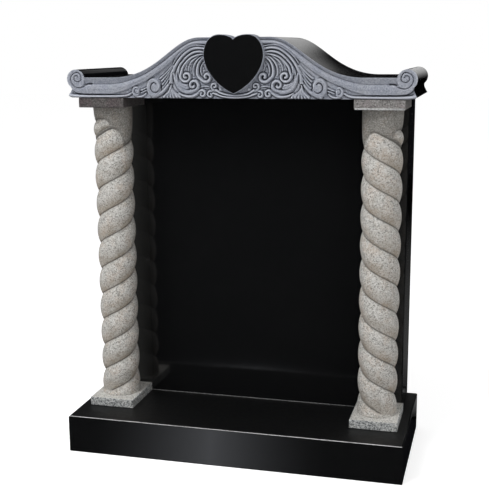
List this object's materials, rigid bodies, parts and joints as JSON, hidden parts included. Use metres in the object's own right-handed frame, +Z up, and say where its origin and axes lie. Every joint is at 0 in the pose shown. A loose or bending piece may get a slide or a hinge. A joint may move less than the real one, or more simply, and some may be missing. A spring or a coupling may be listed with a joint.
{
  "type": "granite headstone",
  "caption": "Upright granite headstone: blank polished tablet on a base, twisted columns on square slabs, and a swan-neck pediment carved with scrolls around a plain heart.",
  "frame": {"origin": "on the ground under the middle of the base", "axes": "+Z up, front towards -Y, +X to the right of someone facing the front"},
  "size_m": [0.9198, 0.406, 1.1245],
  "materials": {
    "polished_black": "mirror-polished black granite",
    "light_granite": "finely tooled light grey-beige granite with dark and tan speckle",
    "grey_granite": "honed warm grey granite",
    "carved_granite": "frosted blue-grey carving in black granite, polished on the heart, top, ends and back"
  },
  "bodies": {
    "root": {"base": "polished_black", "tablet": "polished_black", "plinth_left": "light_granite", "plinth_right": "light_granite", "column_left": "light_granite", "column_right": "light_granite", "capital_left": "grey_granite", "capital_right": "grey_granite", "pediment": "carved_granite"}
  },
  "joints": []
}
